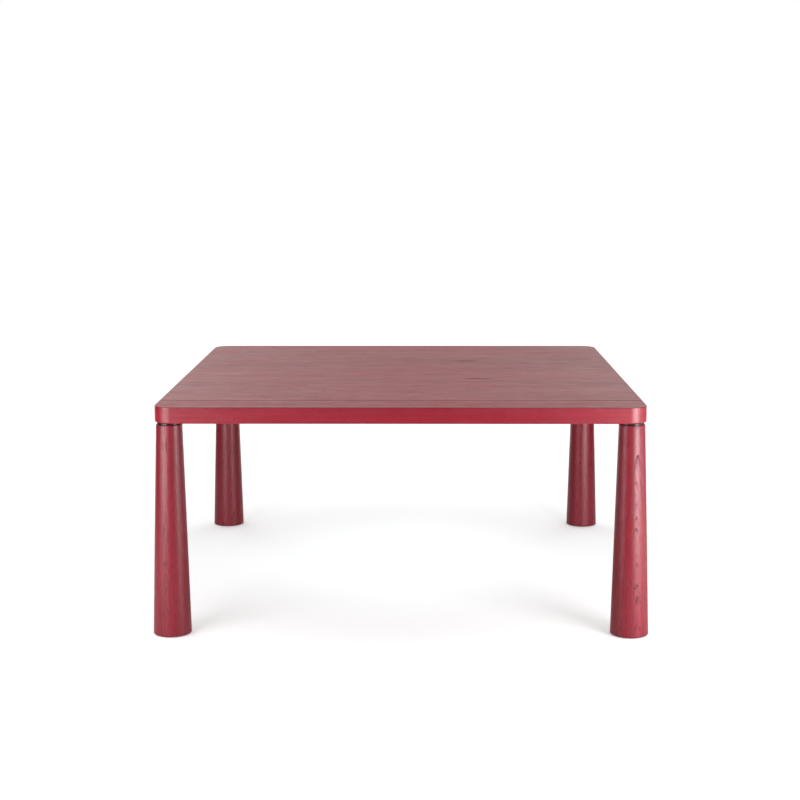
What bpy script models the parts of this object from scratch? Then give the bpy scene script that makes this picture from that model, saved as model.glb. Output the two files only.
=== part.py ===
"""Square dining table in red-stained ash: an edge-glued top carried on four turned, tapered legs.

The grain and the staves run along X. +Z is up, and the origin is on the floor under the table's centre.
Each leg screws up against a black steel disc that is screwed to the underside of the top. The disc is
narrower than the leg's head, so it shows as a dark ring. Three steel channels let into the underside
keep the glued top flat.
"""

import math

import bmesh
import bpy
from mathutils import Vector

# Table top, in metres
TOP_LENGTH = 1.600
TOP_WIDTH = 1.600
TABLE_HEIGHT = 0.760
TOP_THICKNESS = 0.054
CORNER_RADIUS = 0.052
UPPER_ARRIS = 0.002
LOWER_ARRIS = 0.005
STAVE_COUNT = 11
GLUE_LINE = 0.0003

# Open seam in the upper face, behind the front stave
SEAM_WIDTH = 0.004
SEAM_DEPTH = 0.006

# Turned legs
LEG_INSET = 0.048
LEG_HEAD_DIAMETER = 0.086
LEG_FOOT_DIAMETER = 0.125
LEG_HEAD_ROUND = 0.002
LEG_FOOT_ROUND = 0.003

# Steel disc between a leg and the top, and the stud that it carries
DISC_REVEAL = 0.0035
DISC_THICKNESS = 0.0064
DISC_CHAMFER = 0.0006
STUD_DIAMETER = 0.012
STUD_REACH = 0.046
STUD_CHAMFER = 0.0012

# Threaded insert in a leg's head
INSERT_WALL = 0.0027
INSERT_LENGTH = 0.040
INSERT_COLLAR_WIDTH = 0.0035
INSERT_COLLAR_THICKNESS = 0.0016
STUD_END_ROOM = 0.006

# Felt pad under a leg's foot
PAD_MARGIN = 0.0125
PAD_RECESS = 0.002
PAD_STANDS_PROUD = 0.0025
PAD_ROUND = 0.0008

# Countersunk wood screws that hold a disc
DISC_SCREW_COUNT = 3
DISC_SCREW_FROM_EDGE = 0.0115
DISC_SCREW_DIAMETER = 0.005
DISC_SCREW_COUNTERSINK = 0.0024
DISC_SCREW_FIRST_ANGLE = math.radians(90)

# Steel channels let into the underside, across the grain
CHANNEL_COUNT = 3
CHANNEL_FROM_SIDE = 0.300
CHANNEL_FROM_FRONT = 0.100
CHANNEL_WIDTH = 0.040
CHANNEL_DEPTH = 0.020
CHANNEL_WALL = 0.003
CHANNEL_END_ROOM = 0.004

# Pan-head screws in slots, which hold a channel
CHANNEL_SCREWS = 4
CHANNEL_SCREW_FROM_END = 0.100
CHANNEL_SCREW_DIAMETER = 0.006
CHANNEL_SCREW_LEDGE = 0.00275
CHANNEL_SCREW_HEAD_HEIGHT = 0.0034
CHANNEL_SLOT_PLAY = 0.003
CHANNEL_SLOT_CLEARANCE = 0.0005

# Wood left between a screw's tip and the table's surface
SCREW_COVER = 0.020

# Gap left between two pieces that bear on each other
CONTACT_GAP = 0.0003

# How finely round forms are divided
LEG_SIDES = 40
HARDWARE_SIDES = 16
SCREW_SIDES = 10
CORNER_STEPS = 8
ROUND_STEPS = 2
CUTTER_MARGIN = 0.010
MERGE_DISTANCE = 1e-6
SMOOTH_ANGLE = math.radians(35)

# Levels worked out from the sizes above
UNDERSIDE = TABLE_HEIGHT - TOP_THICKNESS
DISC_TOP = UNDERSIDE - CONTACT_GAP
DISC_BOTTOM = DISC_TOP - DISC_THICKNESS
LEG_TOP = DISC_BOTTOM - CONTACT_GAP
LEG_BOTTOM = PAD_STANDS_PROUD
CHANNEL_WEB_BOTTOM = UNDERSIDE + CONTACT_GAP
CHANNEL_SCREW_SEAT = CHANNEL_WEB_BOTTOM - CONTACT_GAP
SCREW_TIP = TABLE_HEIGHT - SCREW_COVER

# Widths and lengths worked out from the sizes above
STAVE_WIDTH = TOP_WIDTH / STAVE_COUNT
DISC_DIAMETER = LEG_HEAD_DIAMETER - 2 * DISC_REVEAL
DISC_SCREW_CIRCLE = DISC_DIAMETER - 2 * DISC_SCREW_FROM_EDGE
DISC_SCREW_LENGTH = SCREW_TIP - DISC_BOTTOM
STUD_BORE = STUD_DIAMETER + 2 * CONTACT_GAP
INSERT_DIAMETER = STUD_BORE + 2 * INSERT_WALL
INSERT_COLLAR_DIAMETER = INSERT_DIAMETER + 2 * INSERT_COLLAR_WIDTH
PAD_DIAMETER = LEG_FOOT_DIAMETER - 2 * PAD_MARGIN
CHANNEL_LENGTH = TOP_WIDTH - 2 * CHANNEL_FROM_FRONT
CHANNEL_SCREW_LENGTH = SCREW_TIP - CHANNEL_SCREW_SEAT

# name: colour, roughness, metallic
FINISHES = {
    "stained_ash": ((0.36, 0.035, 0.055), 0.45, 0.0),
    "black_steel": ((0.012, 0.011, 0.011), 0.35, 0.8),
    "zinc_steel": ((0.55, 0.55, 0.54), 0.35, 1.0),
    "brass": ((0.62, 0.43, 0.17), 0.35, 1.0),
    "felt": ((0.03, 0.025, 0.025), 0.95, 0.0),
}


def clear_scene():
    for obj in list(bpy.data.objects):
        bpy.data.objects.remove(obj, do_unlink=True)


def make_finishes():
    """One Principled material for each finish."""
    made = {}
    for name, (colour, roughness, metallic) in FINISHES.items():
        material = bpy.data.materials.new(name)
        material.use_nodes = True
        shader = material.node_tree.nodes["Principled BSDF"]
        shader.inputs["Base Color"].default_value = (*colour, 1.0)
        shader.inputs["Roughness"].default_value = roughness
        shader.inputs["Metallic"].default_value = metallic
        material.diffuse_color = (*colour, 1.0)
        made[name] = material
    return made


def finished_mesh(name, bm):
    """The bmesh as a mesh that faces outwards, with round faces shaded smooth."""
    bmesh.ops.remove_doubles(bm, verts=bm.verts, dist=MERGE_DISTANCE)
    bmesh.ops.recalc_face_normals(bm, faces=bm.faces)
    mesh = bpy.data.meshes.new(name)
    bm.to_mesh(mesh)
    bm.free()
    mesh.shade_smooth()
    mesh.set_sharp_from_angle(angle=SMOOTH_ANGLE)
    return mesh


def turned(name, profile, sides, closed=False):
    """A profile of (radius, height) points turned about Z. An open profile starts and ends on the axis."""
    bm = bmesh.new()
    points = [bm.verts.new((radius, 0.0, height)) for radius, height in profile]
    for first, second in zip(points, points[1:]):
        bm.edges.new((first, second))
    if closed:
        bm.edges.new((points[-1], points[0]))
    bmesh.ops.spin(
        bm,
        geom=bm.verts[:] + bm.edges[:],
        cent=(0.0, 0.0, 0.0),
        axis=(0.0, 0.0, 1.0),
        angle=2 * math.pi,
        steps=sides,
        use_merge=True,
    )
    return finished_mesh(name, bm)


def extruded(name, outline, along):
    """A flat outline of 3D points drawn out along a vector."""
    bm = bmesh.new()
    face = bm.faces.new([bm.verts.new(point) for point in outline])
    drawn = bmesh.ops.extrude_face_region(bm, geom=[face])
    moved = [item for item in drawn["geom"] if isinstance(item, bmesh.types.BMVert)]
    bmesh.ops.translate(bm, verts=moved, vec=Vector(along))
    return finished_mesh(name, bm)


def arc(centre, radius, start, end, steps):
    """Points along an arc in a plane, both ends included."""
    angles = [start + (end - start) * step / steps for step in range(steps + 1)]
    return [
        (centre[0] + radius * math.cos(angle), centre[1] + radius * math.sin(angle))
        for angle in angles
    ]


def rounded_rectangle(length, width, radius, steps):
    """Outline about the origin, anticlockwise, with each corner an arc."""
    points = []
    for quarter, (side_x, side_y) in enumerate(((1, 1), (-1, 1), (-1, -1), (1, -1))):
        centre = (side_x * (length / 2 - radius), side_y * (width / 2 - radius))
        start = quarter * math.pi / 2
        points += arc(centre, radius, start, start + math.pi / 2, steps)
    return points


def add_object(name, mesh, material=None, parent=None, location=(0.0, 0.0, 0.0)):
    obj = bpy.data.objects.new(name, mesh)
    bpy.context.scene.collection.objects.link(obj)
    if material and not mesh.materials:
        mesh.materials.append(material)
    obj.parent = parent
    obj.location = location
    return obj


def add_empty(name, location):
    empty = bpy.data.objects.new(name, None)
    bpy.context.scene.collection.objects.link(empty)
    empty.empty_display_size = 0.05
    empty.location = location
    return empty


def add_cutter(name, mesh, collection, location=(0.0, 0.0, 0.0)):
    """A shape that only cuts: drawn as wire and left out of renders."""
    cutter = bpy.data.objects.new(name, mesh)
    collection.objects.link(cutter)
    cutter.location = location
    cutter.display_type = "WIRE"
    cutter.hide_render = True
    return cutter


def new_collection(name):
    collection = bpy.data.collections.new(name)
    bpy.context.scene.collection.children.link(collection)
    return collection


def boolean(obj, operation, target):
    """A live Boolean with another object, or with every object of a collection."""
    modifier = obj.modifiers.new(operation.lower(), "BOOLEAN")
    modifier.operation = operation
    modifier.solver = "EXACT"
    if isinstance(target, bpy.types.Collection):
        modifier.operand_type = "COLLECTION"
        modifier.collection = target
    else:
        modifier.object = target


def box_mesh(name, low, high):
    outline = [
        (low[0], low[1], low[2]),
        (high[0], low[1], low[2]),
        (high[0], high[1], low[2]),
        (low[0], high[1], low[2]),
    ]
    return extruded(name, outline, (0.0, 0.0, high[2] - low[2]))


def leg_places():
    """The leg axes on plan, by corner."""
    reach_x = TOP_LENGTH / 2 - LEG_INSET
    reach_y = TOP_WIDTH / 2 - LEG_INSET
    return {
        "front_left": (-reach_x, -reach_y),
        "front_right": (reach_x, -reach_y),
        "back_left": (-reach_x, reach_y),
        "back_right": (reach_x, reach_y),
    }


def disc_screw_places():
    """Where a disc's screws stand, from the leg's axis."""
    places = []
    for number in range(DISC_SCREW_COUNT):
        angle = DISC_SCREW_FIRST_ANGLE + 2 * math.pi * number / DISC_SCREW_COUNT
        radius = DISC_SCREW_CIRCLE / 2
        places.append((radius * math.cos(angle), radius * math.sin(angle)))
    return places


def spread(reach, count):
    """Evenly spaced places from -reach to reach, both ends included."""
    return [reach * (2 * number / (count - 1) - 1) for number in range(count)]


def channel_places():
    """The X positions of the channels, even about the table's middle."""
    return spread(TOP_LENGTH / 2 - CHANNEL_FROM_SIDE, CHANNEL_COUNT)


def channel_screw_places():
    """The Y positions of a channel's screws."""
    return spread(CHANNEL_LENGTH / 2 - CHANNEL_SCREW_FROM_END, CHANNEL_SCREWS)


# Screws


def disc_screw_profile():
    """A countersunk wood screw, point up, with the flat of its head at height 0."""
    shank = DISC_SCREW_DIAMETER / 2
    return [
        (0.0, DISC_SCREW_LENGTH),
        (shank, DISC_SCREW_LENGTH - 2 * DISC_SCREW_DIAMETER),
        (shank, DISC_SCREW_COUNTERSINK),
        (shank + DISC_SCREW_COUNTERSINK, 0.0),
        (0.0, 0.0),
    ]


def countersunk_hole_profile():
    """The hole that such a screw passes through, open above and below the disc."""
    shank = DISC_SCREW_DIAMETER / 2 + CONTACT_GAP
    head = shank + DISC_SCREW_COUNTERSINK
    return [
        (0.0, DISC_THICKNESS + CUTTER_MARGIN),
        (shank, DISC_THICKNESS + CUTTER_MARGIN),
        (shank, DISC_SCREW_COUNTERSINK),
        (head, 0.0),
        (head, -CUTTER_MARGIN),
        (0.0, -CUTTER_MARGIN),
    ]


def channel_screw_profile():
    """A pan-head screw, point up, whose head bears at height 0."""
    shank = CHANNEL_SCREW_DIAMETER / 2
    head = shank + CHANNEL_SCREW_LEDGE
    rim = CHANNEL_SCREW_HEAD_HEIGHT / 2
    crown = [(head * math.cos(angle), -rim * (1 + math.sin(angle))) for angle in (0.0, math.radians(45))]
    return [
        (0.0, CHANNEL_SCREW_LENGTH),
        (shank, CHANNEL_SCREW_LENGTH - 2 * CHANNEL_SCREW_DIAMETER),
        (shank, 0.0),
        (head, 0.0),
        *crown,
        (0.0, -CHANNEL_SCREW_HEAD_HEIGHT),
    ]


def screw_hole_profile(diameter, length):
    """The blind hole round a screw in the wood, open below height 0."""
    radius = diameter / 2 + CONTACT_GAP
    return [
        (0.0, length + 2 * CONTACT_GAP),
        (radius, length - 2 * diameter + 2 * CONTACT_GAP),
        (radius, -CUTTER_MARGIN),
        (0.0, -CUTTER_MARGIN),
    ]


# Table top


def top_form():
    """The whole top as one slab with rounded corners and eased arrises, which the staves are cut from."""
    outline = rounded_rectangle(TOP_LENGTH, TOP_WIDTH, CORNER_RADIUS, CORNER_STEPS)
    bm = bmesh.new()
    face = bm.faces.new([bm.verts.new((x, y, UNDERSIDE)) for x, y in outline])
    drawn = bmesh.ops.extrude_face_region(bm, geom=[face])
    moved = [item for item in drawn["geom"] if isinstance(item, bmesh.types.BMVert)]
    bmesh.ops.translate(bm, verts=moved, vec=(0.0, 0.0, TOP_THICKNESS))
    bmesh.ops.recalc_face_normals(bm, faces=bm.faces)
    for level, radius in ((TABLE_HEIGHT, UPPER_ARRIS), (UNDERSIDE, LOWER_ARRIS)):
        rim = [edge for edge in bm.edges if on_level(edge, level)]
        bmesh.ops.bevel(
            bm,
            geom=rim,
            offset=radius,
            offset_type="OFFSET",
            segments=ROUND_STEPS,
            profile=0.5,
            affect="EDGES",
        )
    return finished_mesh("top_form", bm)


def on_level(edge, level):
    return all(abs(vert.co.z - level) < MERGE_DISTANCE for vert in edge.verts)


def channel_outline(grow, end):
    """The channel's section: a web below and two flanges up. grow widens it into its groove."""
    outer = CHANNEL_WIDTH / 2 + grow
    inner = CHANNEL_WIDTH / 2 - CHANNEL_WALL - grow
    bottom = UNDERSIDE - CUTTER_MARGIN if grow else CHANNEL_WEB_BOTTOM
    web_top = CHANNEL_WEB_BOTTOM + CHANNEL_WALL + grow
    top = CHANNEL_WEB_BOTTOM + CHANNEL_DEPTH + grow
    section = [
        (-outer, bottom),
        (outer, bottom),
        (outer, top),
        (inner, top),
        (inner, web_top),
        (-inner, web_top),
        (-inner, top),
        (-outer, top),
    ]
    return [(x, end, z) for x, z in section]


def groove_cutters():
    """A groove for each channel, with room at its ends."""
    cutters = new_collection("channel_grooves")
    reach = CHANNEL_LENGTH / 2 + CHANNEL_END_ROOM
    groove = extruded("channel_groove", channel_outline(CONTACT_GAP, -reach), (0.0, 2 * reach, 0.0))
    for number, x in enumerate(channel_places(), 1):
        add_cutter(f"channel_groove_{number}", groove, cutters, (x, 0.0, 0.0))
    return cutters


def screw_hole_cutters():
    """A blind hole in the underside for each screw."""
    cutters = new_collection("screw_holes")
    channel_hole = turned(
        "channel_screw_hole",
        screw_hole_profile(CHANNEL_SCREW_DIAMETER, CHANNEL_SCREW_LENGTH),
        SCREW_SIDES,
    )
    disc_hole = turned(
        "disc_screw_hole",
        screw_hole_profile(DISC_SCREW_DIAMETER, DISC_SCREW_LENGTH),
        SCREW_SIDES,
    )
    for number, x in enumerate(channel_places(), 1):
        for screw, y in enumerate(channel_screw_places(), 1):
            name = f"channel_hole_{number}_{screw}"
            add_cutter(name, channel_hole, cutters, (x, y, CHANNEL_SCREW_SEAT))
    for corner, (x, y) in leg_places().items():
        for number, (dx, dy) in enumerate(disc_screw_places(), 1):
            name = f"disc_hole_{corner}_{number}"
            add_cutter(name, disc_hole, cutters, (x + dx, y + dy, DISC_BOTTOM))
    return cutters


def seam_mesh():
    """The slit along the joint behind the front stave, which shows as one dark line across the top."""
    middle = -TOP_WIDTH / 2 + STAVE_WIDTH
    reach_x = TOP_LENGTH / 2 + CUTTER_MARGIN
    low = (-reach_x, middle - SEAM_WIDTH / 2, TABLE_HEIGHT - SEAM_DEPTH)
    high = (reach_x, middle + SEAM_WIDTH / 2, TABLE_HEIGHT + CUTTER_MARGIN)
    return box_mesh("open_seam", low, high)


def add_staves(finishes):
    """The boards of the top, front to back, with a thin glue line between neighbours."""
    helpers = new_collection("top_helpers")
    form = add_cutter("top_form", top_form(), helpers)
    seam = add_cutter("open_seam", seam_mesh(), helpers)
    grooves = groove_cutters()
    screw_holes = screw_hole_cutters()
    reach_x = TOP_LENGTH / 2 + CUTTER_MARGIN
    for number in range(STAVE_COUNT):
        front = -TOP_WIDTH / 2 + number * STAVE_WIDTH
        back = front + STAVE_WIDTH
        front += GLUE_LINE / 2 if number else -CUTTER_MARGIN
        back += CUTTER_MARGIN if number == STAVE_COUNT - 1 else -GLUE_LINE / 2
        low = (-reach_x, front, UNDERSIDE - CUTTER_MARGIN)
        high = (reach_x, back, TABLE_HEIGHT + CUTTER_MARGIN)
        name = f"stave_{number + 1:02d}"
        stave = add_object(name, box_mesh(name, low, high), finishes["stained_ash"])
        boolean(stave, "INTERSECT", form)
        boolean(stave, "DIFFERENCE", grooves)
        boolean(stave, "DIFFERENCE", screw_holes)
        if number in (0, 1):
            boolean(stave, "DIFFERENCE", seam)


# Channels


def slot_mesh():
    """A slot through the web, long across the grain so that the top can swell and shrink."""
    radius = CHANNEL_SCREW_DIAMETER / 2 + CHANNEL_SLOT_CLEARANCE
    half_turn = SCREW_SIDES // 2
    play = CHANNEL_SLOT_PLAY
    outline = arc((0.0, play), radius, 0.0, math.pi, half_turn)
    outline += arc((0.0, -play), radius, math.pi, 2 * math.pi, half_turn)
    low = CHANNEL_WEB_BOTTOM - CUTTER_MARGIN
    deep = CHANNEL_WALL + 2 * CUTTER_MARGIN
    return extruded("channel_slot", [(x, y, low) for x, y in outline], (0.0, 0.0, deep))


def add_channels(finishes):
    cutters = new_collection("channel_slots")
    slot = slot_mesh()
    start = -CHANNEL_LENGTH / 2
    section = extruded("steel_channel", channel_outline(0.0, start), (0.0, CHANNEL_LENGTH, 0.0))
    screw = turned("channel_screw", channel_screw_profile(), SCREW_SIDES)
    for number, x in enumerate(channel_places(), 1):
        channel = add_object(
            f"steel_channel_{number}", section, finishes["black_steel"], location=(x, 0.0, 0.0)
        )
        for place, y in enumerate(channel_screw_places(), 1):
            add_cutter(f"channel_slot_{number}_{place}", slot, cutters, (x, y, 0.0))
            add_object(
                f"channel_screw_{number}_{place}",
                screw,
                finishes["zinc_steel"],
                parent=channel,
                location=(0.0, y, CHANNEL_SCREW_SEAT),
            )
        boolean(channel, "DIFFERENCE", cutters)


# Legs and what is on them


def leg_mesh():
    """A straight taper with eased ends, bored for the insert above and recessed for the pad below."""
    head = LEG_HEAD_DIAMETER / 2
    foot = LEG_FOOT_DIAMETER / 2
    bore = INSERT_DIAMETER / 2 + CONTACT_GAP
    collar = INSERT_COLLAR_DIAMETER / 2 + CONTACT_GAP
    collar_seat = LEG_TOP - INSERT_COLLAR_THICKNESS - 2 * CONTACT_GAP
    insert_bottom = collar_seat - INSERT_LENGTH
    bore_bottom = min(insert_bottom, DISC_BOTTOM - STUD_REACH) - STUD_END_ROOM
    pad = PAD_DIAMETER / 2 + CONTACT_GAP
    pad_seat = LEG_BOTTOM + PAD_RECESS
    quarter = math.pi / 2
    head_centre = (head - LEG_HEAD_ROUND, LEG_TOP - LEG_HEAD_ROUND)
    foot_centre = (foot - LEG_FOOT_ROUND, LEG_BOTTOM + LEG_FOOT_ROUND)
    upper = arc(head_centre, LEG_HEAD_ROUND, quarter, 0.0, ROUND_STEPS)
    lower = arc(foot_centre, LEG_FOOT_ROUND, 0.0, -quarter, ROUND_STEPS)
    profile = [
        (0.0, bore_bottom),
        (bore, bore_bottom),
        (bore, collar_seat),
        (collar, collar_seat),
        (collar, LEG_TOP),
        *upper,
        *lower,
        (pad, LEG_BOTTOM),
        (pad, pad_seat),
        (0.0, pad_seat),
    ]
    return turned("turned_leg", profile, LEG_SIDES)


def insert_mesh():
    """A threaded sleeve with a collar that sits flush in the leg's head."""
    bore = STUD_BORE / 2
    body = INSERT_DIAMETER / 2
    collar = INSERT_COLLAR_DIAMETER / 2
    top = LEG_TOP - CONTACT_GAP
    collar_seat = top - INSERT_COLLAR_THICKNESS
    bottom = collar_seat - INSERT_LENGTH + CONTACT_GAP
    profile = [
        (bore, top),
        (collar, top),
        (collar, collar_seat),
        (body, collar_seat),
        (body, bottom),
        (bore, bottom),
    ]
    return turned("threaded_insert", profile, HARDWARE_SIDES, closed=True)


def stud_mesh():
    """A plain rod with chamfered ends, from the disc's upper face down into the insert."""
    radius = STUD_DIAMETER / 2
    bottom = DISC_BOTTOM - STUD_REACH
    profile = [
        (0.0, DISC_TOP),
        (radius - STUD_CHAMFER, DISC_TOP),
        (radius, DISC_TOP - STUD_CHAMFER),
        (radius, bottom + STUD_CHAMFER),
        (radius - STUD_CHAMFER, bottom),
        (0.0, bottom),
    ]
    return turned("leg_stud", profile, HARDWARE_SIDES)


def disc_mesh():
    """A chamfered disc with a central bore and countersunk holes, cut once and shared by the corners."""
    outer = DISC_DIAMETER / 2
    bore = STUD_BORE / 2
    profile = [
        (bore, DISC_TOP),
        (outer - DISC_CHAMFER, DISC_TOP),
        (outer, DISC_TOP - DISC_CHAMFER),
        (outer, DISC_BOTTOM + DISC_CHAMFER),
        (outer - DISC_CHAMFER, DISC_BOTTOM),
        (bore, DISC_BOTTOM),
    ]
    blank = add_object("disc_blank", turned("mounting_disc", profile, LEG_SIDES, closed=True))
    holes = new_collection("disc_holes")
    hole = turned("countersunk_hole", countersunk_hole_profile(), SCREW_SIDES)
    for number, (x, y) in enumerate(disc_screw_places(), 1):
        add_cutter(f"countersunk_hole_{number}", hole, holes, (x, y, DISC_BOTTOM))
    boolean(blank, "DIFFERENCE", holes)
    return evaluated_mesh(blank, holes)


def evaluated_mesh(obj, helpers):
    """The object's mesh with its modifiers applied. The object and its helpers are then removed."""
    graph = bpy.context.evaluated_depsgraph_get()
    mesh = bpy.data.meshes.new_from_object(obj.evaluated_get(graph))
    for used in [obj, *helpers.objects]:
        bpy.data.objects.remove(used, do_unlink=True)
    bpy.data.collections.remove(helpers)
    return mesh


def pad_mesh():
    """A felt disc seated in the foot's recess, standing a little proud of it."""
    radius = PAD_DIAMETER / 2
    top = LEG_BOTTOM + PAD_RECESS - CONTACT_GAP
    lower = arc((radius - PAD_ROUND, PAD_ROUND), PAD_ROUND, 0.0, -math.pi / 2, ROUND_STEPS)
    return turned("felt_pad", [(0.0, top), (radius, top), *lower, (0.0, 0.0)], LEG_SIDES)


def add_legs(finishes):
    """At each corner a leg on its axis, with its disc, stud, insert, pad and screws."""
    screw = turned("disc_screw", disc_screw_profile(), SCREW_SIDES)
    pieces = (
        ("leg", leg_mesh(), "stained_ash"),
        ("mounting_disc", disc_mesh(), "black_steel"),
        ("leg_stud", stud_mesh(), "zinc_steel"),
        ("threaded_insert", insert_mesh(), "brass"),
        ("felt_pad", pad_mesh(), "felt"),
    )
    for corner, (x, y) in leg_places().items():
        axis = add_empty(f"leg_axis_{corner}", (x, y, 0.0))
        for name, mesh, finish in pieces:
            add_object(f"{name}_{corner}", mesh, finishes[finish], parent=axis)
        for number, (dx, dy) in enumerate(disc_screw_places(), 1):
            add_object(
                f"disc_screw_{corner}_{number}",
                screw,
                finishes["zinc_steel"],
                parent=axis,
                location=(dx, dy, DISC_BOTTOM),
            )


def main():
    clear_scene()
    finishes = make_finishes()
    add_staves(finishes)
    add_channels(finishes)
    add_legs(finishes)


main()
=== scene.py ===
import math
import random

import bmesh
import bpy
from mathutils import Matrix, Vector


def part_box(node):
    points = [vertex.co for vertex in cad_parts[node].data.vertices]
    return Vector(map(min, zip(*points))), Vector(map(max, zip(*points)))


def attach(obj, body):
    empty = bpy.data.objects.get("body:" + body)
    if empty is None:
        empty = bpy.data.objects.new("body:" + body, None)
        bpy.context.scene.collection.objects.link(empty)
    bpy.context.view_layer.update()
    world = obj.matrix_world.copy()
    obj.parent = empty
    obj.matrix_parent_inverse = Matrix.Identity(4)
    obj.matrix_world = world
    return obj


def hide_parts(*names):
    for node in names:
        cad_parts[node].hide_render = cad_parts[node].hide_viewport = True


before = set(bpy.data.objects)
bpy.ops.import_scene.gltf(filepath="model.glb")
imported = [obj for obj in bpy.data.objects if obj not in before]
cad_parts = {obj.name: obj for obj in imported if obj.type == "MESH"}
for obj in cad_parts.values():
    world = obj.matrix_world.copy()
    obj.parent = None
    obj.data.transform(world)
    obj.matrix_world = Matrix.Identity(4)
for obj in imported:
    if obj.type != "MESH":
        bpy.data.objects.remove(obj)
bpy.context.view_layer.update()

scene = bpy.context.scene
mm = 0.001  # the scene is in metres
corners = ("front_left", "front_right", "back_left", "back_right")
print("frame loaded:", len(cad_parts), "nodes")


# node trees, written as expressions

class Wire:
    # an output socket, with the maths that the trees use
    def __init__(self, tree, socket):
        self.tree = tree
        self.socket = socket

    def math(self, operation, *values):
        return addNode(self.tree, "ShaderNodeMath", {"operation": operation}, values)

    def vector(self, operation, *values, output=0):
        return addNode(self.tree, "ShaderNodeVectorMath", {"operation": operation}, values, output)

    def out(self, name):
        return Wire(self.tree, self.socket.node.outputs[name])

    def clamp(self):
        return addNode(self.tree, "ShaderNodeClamp", {}, (self, 0.0, 1.0))

    def ramp(self, low, high):
        # 0 below low, 1 above high, smooth between
        settings = {"interpolation_type": "SMOOTHSTEP"}
        values = {"Value": self, "From Min": low, "From Max": high}
        return addNode(self.tree, "ShaderNodeMapRange", settings, values)

    def __add__(self, other):
        return self.math("ADD", self, other)

    def __radd__(self, other):
        return self.math("ADD", other, self)

    def __sub__(self, other):
        return self.math("SUBTRACT", self, other)

    def __rsub__(self, other):
        return self.math("SUBTRACT", other, self)

    def __mul__(self, other):
        return self.math("MULTIPLY", self, other)

    def __rmul__(self, other):
        return self.math("MULTIPLY", other, self)

    def __truediv__(self, other):
        return self.math("DIVIDE", self, other)

    def __rtruediv__(self, other):
        return self.math("DIVIDE", other, self)

    def __mod__(self, other):
        return self.math("FLOORED_MODULO", self, other)

    def __rmod__(self, other):
        return self.math("FLOORED_MODULO", other, self)


def findSocket(sockets, key):
    if isinstance(key, int):
        return sockets[key]
    return next((s for s in sockets if s.identifier == key), None) or sockets[key]


def addNode(tree, kind, settings=None, values=None, output=0):
    node = tree.nodes.new(kind)
    for key, value in (settings or {}).items():
        if key == "stops":
            setStops(node.color_ramp, value)
        else:
            setattr(node, key, value)
    pairs = values.items() if isinstance(values, dict) else enumerate(values or ())
    for key, value in pairs:
        socket = findSocket(node.inputs, key)
        if isinstance(value, Wire):
            tree.links.new(value.socket, socket)
        else:
            socket.default_value = value
    return Wire(tree, findSocket(node.outputs, output)) if node.outputs else node


def setStops(colorRamp, stops):
    for place, _ in stops[len(colorRamp.elements) - 1:-1]:
        colorRamp.elements.new(place)
    for element, (place, colour) in zip(colorRamp.elements, stops):
        element.position = place
        element.color = colour


def mixColour(factor, first, second):
    tree = next(value.tree for value in (factor, first, second) if isinstance(value, Wire))
    values = {"Factor_Float": factor, "A_Color": first, "B_Color": second}
    return addNode(tree, "ShaderNodeMix", {"data_type": "RGBA"}, values, "Result_Color")


def noise(vector, waves, detail=2.0, roughness=0.5, output="Fac"):
    # waves: how many to a metre along each axis
    scaled = vector.vector("MULTIPLY", vector, waves)
    values = {"Vector": scaled, "Scale": 1.0, "Detail": detail, "Roughness": roughness}
    return addNode(vector.tree, "ShaderNodeTexNoise", {}, values, output)


def weighted(start, weights, layers):
    # start, and each named layer times its weight
    total = start
    for name, weight in weights.items():
        total = total + layers[name] * weight
    return total


def split(vector):
    parts = addNode(vector.tree, "ShaderNodeSeparateXYZ", {}, (vector,))
    return parts, parts.out("Y"), parts.out("Z")


def attribute(tree, name, output="Fac"):
    return addNode(tree, "ShaderNodeAttribute", {"attribute_name": name}, output=output)


def objectPlace(tree):
    return addNode(tree, "ShaderNodeTexCoord", {}, output="Object")


def rgb(red, green, blue):
    return (red, green, blue, 1.0)


def newMaterial(name):
    material = bpy.data.materials.new(name)
    material.use_nodes = True
    material.node_tree.nodes.clear()
    return material, material.node_tree


def bumped(height, distance, strength):
    values = {"Strength": strength, "Distance": distance, "Height": height}
    return addNode(height.tree, "ShaderNodeBump", {}, values)


def shade(material, values):
    tree = material.node_tree
    shader = addNode(tree, "ShaderNodeBsdfPrincipled", {}, values)
    addNode(tree, "ShaderNodeOutputMaterial", {}, {"Surface": shader})
    return material


# red-stained, open-pored ash under a satin lacquer

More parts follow.
